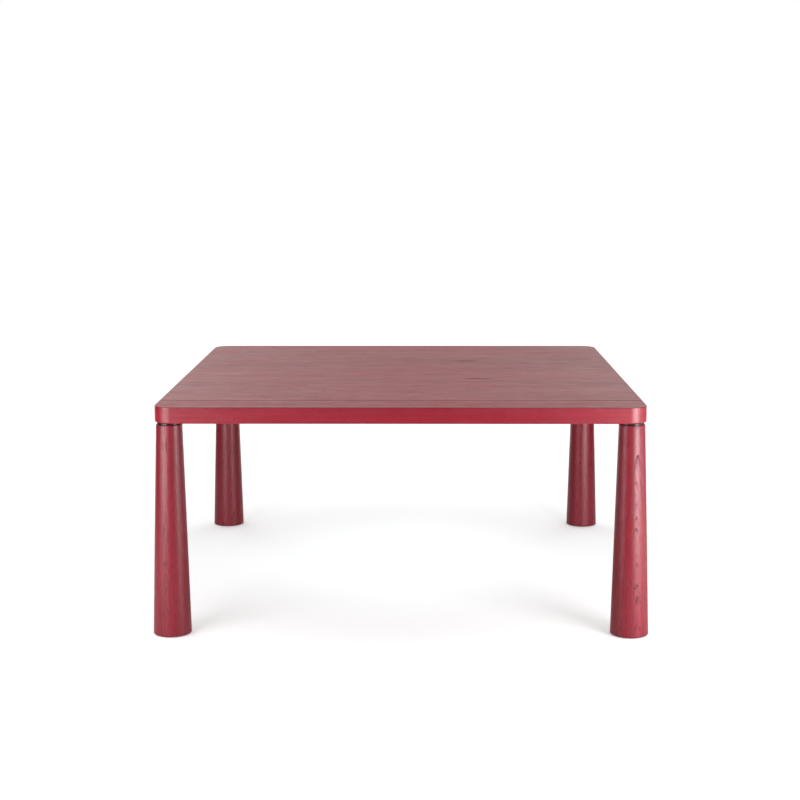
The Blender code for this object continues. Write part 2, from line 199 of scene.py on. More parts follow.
ash = {
    "deepStain": (0.210, 0.0030, 0.0130),
    "midStain": (0.315, 0.0045, 0.0210),
    "paleStain": (0.415, 0.0090, 0.0330),
    "poreStain": (0.080, 0.0030, 0.0080),
    "ior": 1.50,

    # growth rings round a pith that wanders
    "sway": 30 * mm,
    "ripple": 2.2 * mm,
    "yearWaves": 0.23,  # how soon wide years turn to narrow ones
    "yearSpread": 3.0,
    "earlyWood": [(0.0, 1.0), (0.10, 0.80), (0.36, 0.16), (0.94, 0.0), (1.0, 0.9)],  # (part of a year, share)

    # noise, in waves to a metre along the grain and across it
    "swayWaves": (1.1, 4.0, 4.0),
    "rippleWaves": (9.0, 60.0, 60.0),
    "broadWaves": (1.3, 34.0, 34.0),
    "fineWaves": (4.5, 190.0, 190.0),
    "hairWaves": (22.0, 900.0, 900.0),
    "poreWaves": (75.0, 2100.0, 2100.0),
    "veinWaves": (20.0, 80.0, 80.0),
    "skinWaves": (420.0, 420.0, 420.0),
    "poreSpan": (0.56, 0.68),  # the noise is closed below the first and an open pore above the second
    "veinSpan": (0.40, 0.53),
    "latePores": 0.22,  # of those in early wood
    "veinFrom": 0.05,  # part of a year
    "veinWidth": 0.09,

    # what each layer does to the stain, the lacquer and the surface
    "stainBy": {"broad": 1.0, "fine": 1.0, "hair": 0.5},
    "earlyDark": 0.28,
    "poreDark": 0.72,
    "gapDark": 0.85,
    # painted shade along the eased upper edge of the top, and how uneven it is
    "arrisShadeDepth": 0.65,
    "arrisShadeUneven": 0.40,
    "rightShadeSpan": (0.15, 0.85),  # metres to the right of the middle, over which painted shade darkens the stain
    "markUneven": 1.5,
    "film": 0.32,  # how much of the lacquer stands above the grain
    "filmBy": {"fine": 0.2, "pores": -0.2, "gaps": -0.5, "edge": -0.3},
    "roughness": 0.38,
    "roughnessBy": {"fine": 0.14, "pores": 0.25, "gaps": 0.35},
    "poreDepth": 0.10 * mm,
    "relief": 0.55,
    "reliefBy": {"skin": 0.10, "pores": -1.0, "gaps": -0.8, "early": -0.25, "fine": -0.35},
}


def wander(log, waves, reach):
    # a drift across the grain
    drift = noise(log, waves, output="Color")
    centred = drift.vector("SUBTRACT", drift, (0.5, 0.5, 0.5))
    return centred.vector("MULTIPLY", centred, (0.0, reach, reach))


def yearRings(log, wood):
    # how far through its year each point grew, from 0 to 1
    bent = log.vector("ADD", log, wander(log, ash["swayWaves"], ash["sway"]))
    bent = bent.vector("ADD", bent, wander(log, ash["rippleWaves"], ash["ripple"]))
    acrossGrain = bent.vector("MULTIPLY", bent, (0.0, 1.0, 1.0))
    radius = bent.vector("LENGTH", acrossGrain, output="Value")
    years = (radius - split(log)[0] * wood["logTaper"]) / wood["ringPitch"]
    values = {"W": years * ash["yearWaves"], "Scale": 1.0}
    spacing = addNode(log.tree, "ShaderNodeTexNoise", {"noise_dimensions": "1D"}, values)
    return (years + spacing * ash["yearSpread"]) % 1.0


def ashLayers(log, where, wood):
    # pores lie thick in the early wood, gaps are the broken dark veins where years begin, streaks centre on 0
    season = yearRings(log, wood)
    stops = [(place, rgb(grey, grey, grey)) for place, grey in ash["earlyWood"]]
    early = addNode(log.tree, "ShaderNodeValToRGB", {"stops": stops}, (season,))
    pores = noise(log, ash["poreWaves"], detail=1.0).ramp(*ash["poreSpan"])
    veinEnd = ash["veinFrom"] + attribute(log.tree, "bold") * ash["veinWidth"]
    veins = 1.0 - season.ramp(ash["veinFrom"], veinEnd)
    broken = noise(log, ash["veinWaves"]).ramp(*ash["veinSpan"])
    return {
        "early": early,
        "pores": pores * (ash["latePores"] + early * (1.0 - ash["latePores"])),
        "gaps": veins * broken * wood["veining"],
        "broad": noise(log, ash["broadWaves"], detail=3.0) - 0.5,
        "fine": noise(log, ash["fineWaves"], detail=3.0, roughness=0.6) - 0.5,
        "hair": noise(log, ash["hairWaves"]) - 0.5,
        "edge": attribute(log.tree, "edge"),
        "skin": noise(where, ash["skinWaves"], detail=1.0),
    }


def stainedAsh(name, wood, marks=()):
    # wood is the dictionary of the top or the legs; the attribute "log" is a point's place in the log
    # that it was cut from, x along the grain, y and z across it from the pith
    material, tree = newMaterial(name)
    log, where = attribute(tree, "log", "Vector"), objectPlace(tree)
    layers = ashLayers(log, where, wood)
    # streaks of the figure, and painted shade in the open seam, darken like the veins
    for mark in marks:
        streak = darkMark(where, layers["fine"], **mark)
        layers["gaps"] = streak.math("MAXIMUM", layers["gaps"], streak)

    deep, mid, pale, pore = (
        rgb(*(part * wood["stainStrength"] for part in ash[key]))
        for key in ("deepStain", "midStain", "paleStain", "poreStain")
    )
    # painted shade: the stain darkens from the middle towards the right end
    tone = attribute(tree, "tone") - split(where)[0].ramp(*ash["rightShadeSpan"]) * wood["rightShade"]
    streaks = weighted(0.0, ash["stainBy"], layers) * wood["figure"]
    lightness = 0.5 + streaks + tone - layers["early"] * ash["earlyDark"]
    stain = mixColour((lightness * 2.0).clamp(), deep, mid)
    stain = mixColour((lightness * 2.0 - 1.0).clamp(), stain, pale)
    pores, gaps = layers["pores"] * ash["poreDark"], layers["gaps"] * ash["gapDark"]
    stain = mixColour(gaps.math("MAXIMUM", pores, gaps).clamp(), stain, pore)
    # painted shade: the stain darkens towards the pore colour along the eased upper edge
    paintedArrisShade = layers["edge"] * (ash["arrisShadeDepth"] + layers["fine"] * ash["arrisShadeUneven"])
    stain = mixColour(paintedArrisShade, stain, pore)

    film = weighted(ash["film"], ash["filmBy"], layers)
    for along, across, amount in wood["patches"]:
        film = film + (noise(log, (along, across, across), detail=4.0, roughness=0.6) - 0.5) * amount
    height = weighted(0.0, ash["reliefBy"], layers)
    return shade(material, {
        "Base Color": stain,
        "Roughness": weighted(ash["roughness"], ash["roughnessBy"], layers),
        "IOR": ash["ior"],
        "Normal": bumped(height, ash["poreDepth"], ash["relief"]),
        "Coat Weight": film.clamp(),
        "Coat Roughness": ash["roughness"],
    })


def darkMark(where, unevenness, at, reach, width, depth):
    # one dark streak, of the figure or of painted shade: at is its middle on plan
    x, y, _ = split(where)
    lengthways = (x - at[0]) / reach
    sideways = (y - at[1] + unevenness * (width * ash["markUneven"])) / width
    return (1.0 - lengthways * lengthways).clamp() * (1.0 - sideways * sideways).clamp() * depth


def markGrain(mesh, toLog, tone, bold, edgeOf=None):
    # writes each point's place in its log, the piece's own tone, how wide its veins are and its eased edges
    count = len(mesh.vertices)
    log = mesh.attributes.new("log", "FLOAT_VECTOR", "POINT")
    log.data.foreach_set("vector", [part for vertex in mesh.vertices for part in toLog(vertex.co)])
    edges = [edgeOf(vertex.co) if edgeOf else 0.0 for vertex in mesh.vertices]
    for name, values in (("tone", [tone] * count), ("bold", [bold] * count), ("edge", edges)):
        mesh.attributes.new(name, "FLOAT", "POINT").data.foreach_set("value", values)


# metal and felt

paint = {
    "deep": rgb(0.0075, 0.0070, 0.0070),
    "pale": rgb(0.020, 0.018, 0.018),
    "gritWaves": (1500.0, 1500.0, 1500.0),
    "cloudWaves": (45.0, 45.0, 45.0),
    "roughness": 0.17,
    "roughnessBy": {"grit": 0.09, "cloud": 0.05},
    "ior": 1.4,
    "gritHeight": 0.04 * mm,
    "relief": 0.5,
}


def paintedSteel():
    material, tree = newMaterial("blackPaintedSteel")
    where = objectPlace(tree)
    layers = {
        "grit": noise(where, paint["gritWaves"]),
        "cloud": noise(where, paint["cloudWaves"], detail=3.0),
    }
    return shade(material, {
        "Base Color": mixColour(layers["cloud"], paint["deep"], paint["pale"]),
        "Roughness": weighted(paint["roughness"], paint["roughnessBy"], layers),
        "IOR": paint["ior"],
        "Normal": bumped(layers["grit"], paint["gritHeight"], paint["relief"]),
    })


plating = {
    "zinc": {"dull": rgb(0.42, 0.42, 0.41), "bright": rgb(0.66, 0.66, 0.64), "roughness": 0.22},
    "brass": {"dull": rgb(0.50, 0.33, 0.11), "bright": rgb(0.72, 0.52, 0.23), "roughness": 0.20},
    "cloudWaves": (160.0, 160.0, 160.0),
    "scratchWaves": (900.0, 900.0, 120.0),
    "roughnessBy": {"cloud": 0.18, "scratch": 0.10},
    "scratchDepth": 0.02 * mm,
    "relief": 0.3,
}


def platedMetal(name, metal):
    material, tree = newMaterial(name)
    where = objectPlace(tree)
    layers = {
        "cloud": noise(where, plating["cloudWaves"], detail=3.0),
        "scratch": noise(where, plating["scratchWaves"]),
    }
    return shade(material, {
        "Base Color": mixColour(layers["cloud"], metal["dull"], metal["bright"]),
        "Metallic": 1.0,
        "Roughness": weighted(metal["roughness"], plating["roughnessBy"], layers),
        "Normal": bumped(layers["scratch"], plating["scratchDepth"], plating["relief"]),
    })


wool = {
    "deep": rgb(0.010, 0.009, 0.009),
    "pale": rgb(0.060, 0.052, 0.050),
    "fibreWaves": (1400.0, 1400.0, 1400.0),
    "tuftWaves": (240.0, 240.0, 240.0),
    "colourBy": {"fibre": 0.6, "tuft": 0.4},
    "roughness": 0.92,
    "sheen": 0.25,
    "pile": 0.25 * mm,
    "relief": 0.8,
    "reliefBy": {"fibre": 1.0, "tuft": 0.6},
}


def woolFelt():
    material, tree = newMaterial("darkWoolFelt")
    where = objectPlace(tree)
    layers = {
        "fibre": noise(where, wool["fibreWaves"], detail=3.0, roughness=0.7),
        "tuft": noise(where, wool["tuftWaves"], detail=3.0),
    }
    return shade(material, {
        "Base Color": mixColour(weighted(0.0, wool["colourBy"], layers), wool["deep"], wool["pale"]),
        "Roughness": wool["roughness"],
        "Sheen Weight": wool["sheen"],
        "Normal": bumped(weighted(0.0, wool["reliefBy"], layers), wool["pile"], wool["relief"]),
    })


# meshes

mergeWithin = 0.004 * mm
sharpFrom = math.radians(35)
cutterPast = 5 * mm  # how far a cutter reaches past the surface that it cuts


def newPiece(name, mesh, slot, *nodes):
    piece = bpy.data.objects.new(name, mesh)
    scene.collection.objects.link(piece)
    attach(piece, "root")
    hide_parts(*nodes)


def helper(name, mesh):
    # a passing object, which the function that asks for it takes away again
    made = bpy.data.objects.new(name, mesh)
    scene.collection.objects.link(made)
    return made


def plainMesh(obj, name):
    # the mesh of a helper with its modifiers in it
    graph = bpy.context.evaluated_depsgraph_get()
    mesh = bpy.data.meshes.new_from_object(obj.evaluated_get(graph))
    mesh.name = name
    bpy.data.objects.remove(obj)
    return tidied(mesh)


def tidied(mesh):
    bm = bmesh.new()
    bm.from_mesh(mesh)
    bmesh.ops.remove_doubles(bm, verts=bm.verts, dist=mergeWithin)
    bmesh.ops.recalc_face_normals(bm, faces=bm.faces)
    bm.to_mesh(mesh)
    bm.free()
    mesh.shade_smooth()
    mesh.set_sharp_from_angle(angle=sharpFrom)
    return mesh


def meshOf(bm, name):
    mesh = bpy.data.meshes.new(name)
    bm.to_mesh(mesh)
    bm.free()
    return tidied(mesh)


def cut(mesh, cutters):
    # takes the cutter meshes out of a mesh, one after another
    body = helper("cutBody", mesh)
    tools = [helper("cutTool", tool) for tool in cutters]
    for tool in tools:
        step = body.modifiers.new("cut", "BOOLEAN")
        step.operation, step.solver, step.object = "DIFFERENCE", "EXACT", tool
    result = plainMesh(body, mesh.name)
    for tool in tools:
        bpy.data.objects.remove(tool)
    return result


def moved(mesh, place, turn=0.0):
    other = mesh.copy()
    other.transform(Matrix.Translation(place) @ Matrix.Rotation(turn, 4, "Z"))
    return other


def arc(centre, radius, start, end, steps):
    # points (across, up) on an arc, in degrees, both ends included
    angles = [math.radians(start + (end - start) * step / steps) for step in range(steps + 1)]
    return [(centre[0] + radius * math.cos(a), centre[1] + radius * math.sin(a)) for a in angles]


def drawnOut(name, outline, along):
    # a bar with this outline at its near end
    bm = bmesh.new()
    face = bm.faces.new([bm.verts.new(point) for point in outline])
    far = bmesh.ops.extrude_face_region(bm, geom=[face])["geom"]
    farPoints = [part for part in far if isinstance(part, bmesh.types.BMVert)]
    bmesh.ops.translate(bm, verts=farPoints, vec=Vector(along))
    return meshOf(bm, name)


# geometry trees: a profile spun about an upright axis, with a thread where asked for, and rows of screws

threadInputs = ("Thread Pitch", "Thread Depth", "Thread Low", "Thread High")
noThread = (1.0, 0.0, 0.0, 0.0)  # any pitch, no depth


def newTree(name, inputs):
    tree = bpy.data.node_groups.new(name, "GeometryNodeTree")
    for label, kind in (("Geometry", "Geometry"), *inputs):
        tree.interface.new_socket(label, in_out="INPUT", socket_type=f"NodeSocket{kind}")
    tree.interface.new_socket("Geometry", in_out="OUTPUT", socket_type="NodeSocketGeometry")
    return tree, addNode(tree, "NodeGroupInput")


def endTree(tree, shape, finish):
    solid = addNode(tree, "GeometryNodeRealizeInstances", {}, (shape,))
    dressed = addNode(tree, "GeometryNodeSetMaterial", {}, {"Geometry": solid, "Material": finish})
    addNode(tree, "NodeGroupOutput", {}, (dressed,))
    return tree


def turnedTree():
    threads = [(name, "Float") for name in threadInputs]
    tree, given = newTree("turnedWork", [("Sides", "Int"), *threads, ("Finish", "Material")])
    sides, pitch, depth, threadLow, threadHigh = (given.out(name) for name in ("Sides", *threadInputs))
    rows = addNode(tree, "GeometryNodeAttributeDomainSize", {"component": "MESH"}, (given,), "Point Count")
    sheet = addNode(tree, "GeometryNodeMeshGrid", {}, {"Vertices X": rows, "Vertices Y": sides + 1})
    index = addNode(tree, "GeometryNodeInputIndex")
    place = (index + 0.5) / (sides + 1)
    row = place.math("FLOOR", place)
    column = index - row * (sides + 1)
    spot = addNode(tree, "GeometryNodeInputPosition")
    sample = {"Geometry": given, "Value": spot, "Index": row}
    point = addNode(tree, "GeometryNodeSampleIndex", {"data_type": "FLOAT_VECTOR"}, sample)
    across, _, height = split(point)

    turn = column / sides
    lap = (height / pitch - turn) % 1.0
    ridge = lap.math("ABSOLUTE", lap * 2.0 - 1.0)
    fadeIn = ((height - threadLow) / pitch).clamp()
    fadeOut = ((threadHigh - height) / pitch).clamp()
    radius = across - ridge * depth * fadeIn * fadeOut
    angle = turn * (2.0 * math.pi)
    onCircle = (radius * angle.math("COSINE", angle), radius * angle.math("SINE", angle), height)
    spun = addNode(tree, "ShaderNodeCombineXYZ", {}, onCircle)
    shaped = addNode(tree, "GeometryNodeSetPosition", {}, {"Geometry": sheet, "Position": spun})
    closed = addNode(tree, "GeometryNodeMergeByDistance", {}, {"Geometry": shaped, "Distance": mergeWithin})
    return endTree(tree, closed, given.out("Finish"))


def setInputs(modifier, values):
    for item in modifier.node_group.interface.items_tree:
        if item.in_out == "INPUT" and item.name in values:
            modifier[item.identifier] = values[item.name]


def turned(name, profile, sides, finish, thread=noThread):
    # profile: (radius, height) points from pole to pole, or a closed loop
    line = bpy.data.meshes.new(name)
    edges = [(i, i + 1) for i in range(len(profile) - 1)]
    line.from_pydata([(radius, 0.0, height) for radius, height in profile], edges, [])
    blank = helper(name, line)
    spin = blank.modifiers.new("turned", "NODES")
    spin.node_group = turnedWork
    setInputs(spin, {"Sides": sides, "Finish": finish, **dict(zip(threadInputs, thread))})
    return plainMesh(blank, name)


def scatterTree():
    # one copy of an object on each point, each turned by its own amount
    tree, given = newTree("screwRow", [("Screw", "Object"), ("Seed", "Int"), ("Finish", "Material")])
    shape = addNode(tree, "GeometryNodeObjectInfo", {}, {"Object": given.out("Screw")}, "Geometry")
    limits = {3: 2.0 * math.pi, "Seed": given.out("Seed")}  # 3 is the upper end of the float kind
    twist = addNode(tree, "FunctionNodeRandomValue", {"data_type": "FLOAT"}, limits, 1)
    turn = addNode(tree, "ShaderNodeCombineXYZ", {}, {"Z": twist})
    points = addNode(tree, "GeometryNodeMeshToPoints", {}, (given,))
    row = {"Points": points, "Instance": shape, "Rotation": turn}
    copies = addNode(tree, "GeometryNodeInstanceOnPoints", {}, row)
    return endTree(tree, copies, given.out("Finish"))


def scattered(name, shape, places, seed, finish):
    spots = bpy.data.meshes.new(name)
    spots.from_pydata(places, [], [])
    row = helper(name, spots)
    model = helper("screwModel", shape)
    repeat = row.modifiers.new("row", "NODES")
    repeat.node_group = screwRow
    setInputs(repeat, {"Screw": model, "Seed": seed, "Finish": finish})
    mesh = plainMesh(row, name)
    bpy.data.objects.remove(model)
    return mesh


turnedWork = turnedTree()
screwRow = scatterTree()
print("node trees ready")


# finishes and sizes that several pieces share

fit = 0.3 * mm  # room between two pieces that bear on each other
blackSteel = paintedSteel()
zinc = platedMetal("zincPlatedSteel", plating["zinc"])
brass = platedMetal("turnedBrass", plating["brass"])
felt = woolFelt()

discScrew = {
    "count": 3,
    "shank": 5 * mm,
    "head": 9.8 * mm,
    "sink": 2.4 * mm,
    "pitch": 2.2 * mm,
    "thread": 0.75 * mm,
    "recess": 2.6 * mm,
    "recessDepth": 1.7 * mm,
    "sides": 24,
    "node": "disc_screw_front_left_1",
}
channelScrew = {
    "count": 4,
    "shank": 6 * mm,
    "head": 11.5 * mm,
    "headHeight": 3.4 * mm,
    "crownFrom": 0.45,  # of the head's height
    "crownSteps": 6,
    "pitch": 2.6 * mm,
    "thread": 0.85 * mm,
    "recess": 3.3 * mm,
    "recessDepth": 2.1 * mm,
    "sides": 28,
    "node": "channel_screw_1_1",
}
screwForm = {
    "pointLength": 2.0,  # in shanks
    "pointWaist": 0.5,  # half way along the point, of the shank
    "stepsToTurn": 6,
    "plainNeck": 1.5,  # in pitches
    "threadOnPoint": 0.6,  # in shanks
    "armEnd": 0.35,  # half length of a cross recess's arm at its bottom, of that at its mouth
    "armHalf": 0.16,  # half width of the arm, of the same
    "armOver": 0.5 * mm,  # how far its cutter stands out of the head
}
channel = {
    "count": 3,
    "width": 40 * mm,
    "wall": 3 * mm,
    "outerBend": 3.6 * mm,
    "outerSteps": 8,
    "innerBend": 0.8 * mm,
    "innerSteps": 4,
    "tipRound": 0.4 * mm,
    "tipSteps": 3,
    "endRoom": 4 * mm,
    "slotWidth": 7 * mm,
    "slotPlay": 3 * mm,
    "slotSteps": 12,
    "seed": 20,
}


def middle(node):
    low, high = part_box(node)
    return (low + high) / 2


def width(node):
    low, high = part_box(node)
    return high.x - low.x


def rodPoints(radius, start, end, step):
    # points down a straight rod, close enough together to carry a thread
    count = math.ceil(abs(end - start) / step)
    return [(radius, start + (end - start) * i / count) for i in range(count + 1)]


def standAtLegs(name, shape, slot, nodes):
    # one copy of a shape at each leg's axis
    for corner in corners:
        spot = middle(f"{nodes}_{corner}")
        mesh = moved(shape, (spot.x, spot.y, 0.0))
        mesh.name = f"{name}_{corner}"
        newPiece(mesh.name, mesh, slot, f"{nodes}_{corner}")


def screwModel(name, screw, head, neck):
    # point up, its seat or flat at height 0; head runs down from the seat, neck is where the shank begins
    low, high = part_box(screw["node"])
    length, shank = high.z - low.z - screw.get("headHeight", 0.0), screw["shank"] / 2
    point = length - screwForm["pointLength"] * screw["shank"]
    tip = [(0.0, length), (shank * screwForm["pointWaist"], (length + point) / 2)]
    rod = rodPoints(shank, point, neck, screw["pitch"] / screwForm["stepsToTurn"])
    threadLow = neck + screwForm["plainNeck"] * screw["pitch"]
    threadHigh = point + screwForm["threadOnPoint"] * screw["shank"]
    thread = (screw["pitch"], screw["thread"], threadLow, threadHigh)
    shape = turned(name, [*tip, *rod, *head], screw["sides"], zinc, thread)
    bottom = head[-1][1]
    return cut(shape, [crossArm(screw, bottom, turn) for turn in (0.0, math.pi / 2)])


def crossArm(screw, bottom, turn):
    # one tapered arm of a cross recess, cut upwards into a head
    reach, roof = screw["recess"], bottom + screw["recessDepth"]
    end, half = reach * screwForm["armEnd"], reach * screwForm["armHalf"]
    mouth = bottom - screwForm["armOver"]
    outline = [(-reach, mouth), (reach, mouth), (end, roof), (-end, roof)]
    arm = drawnOut("arm", [(x, -half, z) for x, z in outline], (0.0, 2 * half, 0.0))
    return moved(arm, (0.0, 0.0, 0.0), turn)


# table top: boards glued edge to edge, grain left to right

top = {
    "boards": 11,
    "glueLine": 0.3 * mm,
    "cornerRadius": 58 * mm,
    "upperArris": 2 * mm,
    "lowerArris": 5 * mm,
    "cornerSteps": 24,
    "arrisSteps": 5,
    "flatMargin": 2 * mm,  # a narrow strip beside each round, so that the flats shade flat
    "seamWidth": 4 * mm,  # the open seam behind the front board
    "seamDepth": 6 * mm,
    "holeSides": 24,

    # the logs that the boards were sawn from
    "seed": 11,
    "pithAside": 45 * mm,
    "pithOff": (50 * mm, 120 * mm),
    "logStep": 3.0,  # metres along the log, so that no two boards have the same figure
    "ringPitch": 2.3 * mm,
    "logTaper": 0.006,

    "stainStrength": 1.0,
    "toneSpread": 0.10,
    "figure": 1.0,  # how strong the streaks are
    "veining": 0.12,  # how dark the vein of each year is
    "bold": 1.0,  # how wide the veins are
    "rightShade": 0.20,  # how much painted shade darkens the stain towards the right
    "patches": [(2.4, 18.0, 0.8), (14.0, 24.0, 0.9)],  # of sunk lacquer: waves along, waves across, how much
}

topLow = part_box("stave_01")[0]
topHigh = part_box(f"stave_{top['boards']:02d}")[1]
halfLength, halfWidth = topHigh.x, topHigh.y
underside, tableHeight = topLow.z, topHigh.z

seamAt = -halfWidth + 2 * halfWidth / top["boards"]
endToEnd = 4.0  # metres, far past both ends
figureAndSeamShade = [
    {"at": (0.0, seamAt), "reach": endToEnd, "width": 4 * mm, "depth": 0.9},  # painted shade in the open seam
    {"at": (0.0, seamAt - 70 * mm), "reach": endToEnd, "width": 75 * mm, "depth": 0.13},  # dull front board
    {"at": (0.245, 0.315), "reach": 52 * mm, "width": 17 * mm, "depth": 0.8},
    {"at": (0.276, -0.162), "reach": 58 * mm, "width": 14 * mm, "depth": 0.8},
]
ashTop = stainedAsh("redStainedAshTop", top, figureAndSeamShade)


def topLevels():
    # (height, inset) of each loop of the top, from its upper flat round to its lower one
    up, down, margin = top["upperArris"], top["lowerArris"], top["flatMargin"]
    upper = arc((-up, tableHeight - up), up, 90, 0, top["arrisSteps"])
    lower = arc((-down, underside + down), down, 0, -90, top["arrisSteps"])
    levels = [(tableHeight, up + margin)]
    levels += [(z, -x) for x, z in upper]
    levels += [(tableHeight - up - margin, 0.0), (underside + down + margin, 0.0)]
    levels += [(z, -x) for x, z in lower]
    return levels + [(underside, down + margin)]


def boardOutline(front, back, inset):
    # the board's outline at one level, with a rounded corner where it is a corner of the top
    endX = halfLength - inset
    radius = top["cornerRadius"] - inset
    bend = halfLength - top["cornerRadius"]
    margin = top["flatMargin"]
    right = []
    if front <= -halfWidth:
        centre = (bend, -halfWidth + top["cornerRadius"])
        right += [(bend - margin, -halfWidth + inset)]
        right += arc(centre, radius, -90, 0, top["cornerSteps"]) + [(endX, centre[1] + margin)]
    else:
        right += [(endX, front)]
    if back >= halfWidth:
        centre = (bend, halfWidth - top["cornerRadius"])
        right += [(endX, centre[1] - margin)] + arc(centre, radius, 0, 90, top["cornerSteps"])
        right += [(bend - margin, halfWidth - inset)]
    else:
        right += [(endX, back)]
    return right + [(-x, y) for x, y in reversed(right)]


def boardMesh(name, front, back):
    bm = bmesh.new()
    loops = []
    for height, inset in topLevels():
        loops.append([bm.verts.new((x, y, height)) for x, y in boardOutline(front, back, inset)])
    bm.faces.new(loops[0])
    bm.faces.new(reversed(loops[-1]))
    for upper, lower in zip(loops, loops[1:]):
        for i in range(len(upper)):
            bm.faces.new((upper[i - 1], lower[i - 1], lower[i], upper[i]))
    return meshOf(bm, name)


def boardCutters():
    # a groove for each channel, a blind hole for each screw and the open seam, as (mesh, front, back)
    half, wall = channel["width"] / 2 + fit, channel["wall"] + 2 * fit
    low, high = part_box("steel_channel_1")
    web, roof = low.z + channel["wall"] + fit, high.z + fit
    mouth = underside - cutterPast
    section = [
        (-half, mouth), (half, mouth), (half, roof), (half - wall, roof),
        (half - wall, web), (wall - half, web), (wall - half, roof), (-half, roof),
    ]
    reach = high.y + channel["endRoom"]
    groove = drawnOut("groove", [(x, -reach, z) for x, z in section], (0.0, 2 * reach, 0.0))
    tools = []
    for number in range(1, channel["count"] + 1):
        tools.append((moved(groove, (middle(f"steel_channel_{number}").x, 0.0, 0.0)), -reach, reach))

    for screw, word in ((discScrew, "disc_screw"), (channelScrew, "channel_screw")):
        radius, tip = screw["shank"] / 2 + fit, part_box(screw["node"])[1].z + 2 * fit
        shoulder = tip - screwForm["pointLength"] * screw["shank"]
        profile = [(0.0, tip), (radius, shoulder), (radius, mouth), (0.0, mouth)]
        hole = turned("screwHole", profile, top["holeSides"], ashTop)
        for spot in (middle(node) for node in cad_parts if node.startswith(word)):
            tools.append((moved(hole, (spot.x, spot.y, 0.0)), spot.y - radius, spot.y + radius))
    return tools + [seamCutter()]


def seamCutter():
    front, back = seamAt - top["seamWidth"] / 2, seamAt + top["seamWidth"] / 2
    floor, roof = tableHeight - top["seamDepth"], tableHeight + cutterPast
    end = halfLength + cutterPast
    across = [(front, floor), (back, floor), (back, roof), (front, roof)]
    slit = drawnOut("seam", [(-end, y, z) for y, z in across], (2 * end, 0.0, 0.0))
    return slit, front, back


def onUpperArris(point):
    # 1 on the eased upper edge of the top, where the stain is darkened as painted shade, and 0 elsewhere
    clear = 0.1 * mm
    return 1.0 if clear < tableHeight - point.z < top["upperArris"] - clear else 0.0


def buildTop():
    chance = random.Random(top["seed"])
    board, gap = 2 * halfWidth / top["boards"], top["glueLine"] / 2
    tools = boardCutters()
    for number in range(1, top["boards"] + 1):
        name = f"top_board_{number:02d}"
        front = -halfWidth + (number - 1) * board + (gap if number > 1 else 0.0)
        back = -halfWidth + number * board - (gap if number < top["boards"] else 0.0)
        blank = boardMesh(name, front, back)
        mesh = cut(blank, [tool for tool, start, end in tools if start < back and end > front])
        aside = chance.uniform(-top["pithAside"], top["pithAside"])
        off = chance.uniform(*top["pithOff"])
        height = underside - off if number % 2 else tableHeight + off
        pith = Vector((-top["logStep"] * number, (front + back) / 2 + aside, height))
        tone = chance.uniform(-top["toneSpread"], top["toneSpread"])
        markGrain(mesh, lambda co: co - pith, tone, top["bold"], onUpperArris)
        mesh.materials.clear()
        mesh.materials.append(ashTop)
        newPiece(name, mesh, "stained_ash", f"stave_{number:02d}")


buildTop()
print("top built:", top["boards"], "boards")


# legs: a straight taper, wider at the foot

leg = {
    "headDiameter": 86 * mm,
    "headRound": 2 * mm,
    "footRound": 3 * mm,
    "sides": 128,
    "roundSteps": 6,
    "flatMargin": 4 * mm,
    "insertDiameter": 18 * mm,
    "collarSeat": 1.9 * mm,
    "boreRoom": 6 * mm,

    # the log of each leg: degrees round the leg to its pith, its lean, the width of its veins
    "logs": {
        "front_left": {"pith": 82, "lean": 0.019, "bold": 1.0},
        "front_right": {"pith": 103, "lean": 0.008, "bold": 2.2},
        "back_left": {"pith": 120, "lean": 0.012, "bold": 0.6},
        "back_right": {"pith": 80, "lean": 0.018, "bold": 0.6},
    },
    "pithOff": 140 * mm,
    "logStep": 2.0,
    "ringPitch": 1.2 * mm,
    "logTaper": 0.0,

    "stainStrength": 0.76,
    "tone": 0.0,
    "figure": 0.7,
    "veining": 0.85,
    "rightShade": 0.0,
    "patches": [(35.0, 250.0, 1.4)],
}
ashLegs = stainedAsh("redStainedAshLegs", leg)


def legProfile():
    low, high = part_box("leg_front_left")
    foot, head = (high.x - low.x) / 2, leg["headDiameter"] / 2
    headRound, footRound, steps = leg["headRound"], leg["footRound"], leg["roundSteps"]
    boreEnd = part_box("threaded_insert_front_left")[0].z - leg["boreRoom"]
    seat = high.z - leg["collarSeat"]
    collar, bore = width("threaded_insert_front_left") / 2 + fit, leg["insertDiameter"] / 2 + fit
    pad, padTop = width("felt_pad_front_left") / 2 + fit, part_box("felt_pad_front_left")[1].z + fit
    lean = (foot - head) / (high.z - low.z)  # widening for each metre down
    upper = arc((head - headRound, high.z - headRound), headRound, 90, 0, steps)
    lower = arc((foot - footRound, low.z + footRound), footRound, 0, -90, steps)
    upperEnd, lowerEnd = upper[-1][1] - leg["flatMargin"], lower[0][1] + leg["flatMargin"]
    straight = [(head + lean * (upper[-1][1] - z), z) for z in (upperEnd, lowerEnd)]
    return [
        (0.0, boreEnd), (bore, boreEnd), (bore, seat), (collar, seat), (collar, high.z),
        *upper, *straight, *lower,
        (pad, low.z), (pad, padTop), (0.0, padTop),
    ]


def buildLegs():
    shape = turned("leg", legProfile(), leg["sides"], ashLegs)
    for number, corner in enumerate(corners):
        spot, source = middle(f"leg_{corner}"), leg["logs"][corner]
        mesh = moved(shape, (spot.x, spot.y, 0.0))
        mesh.name = f"leg_{corner}"
        towards = math.radians(source["pith"])
        pith = Vector((math.cos(towards), math.sin(towards), 0.0))

        def toLog(co):
            off = co - spot - pith * (leg["pithOff"] + source["lean"] * co.z)
            return co.z + leg["logStep"] * number, off.x, off.y

        markGrain(mesh, toLog, leg["tone"], source["bold"])
        newPiece(f"turned_leg_{corner}", mesh, "stained_ash", f"leg_{corner}")


buildLegs()
print("legs built:", len(corners))


# what joins each leg to the top, and the pad under its foot

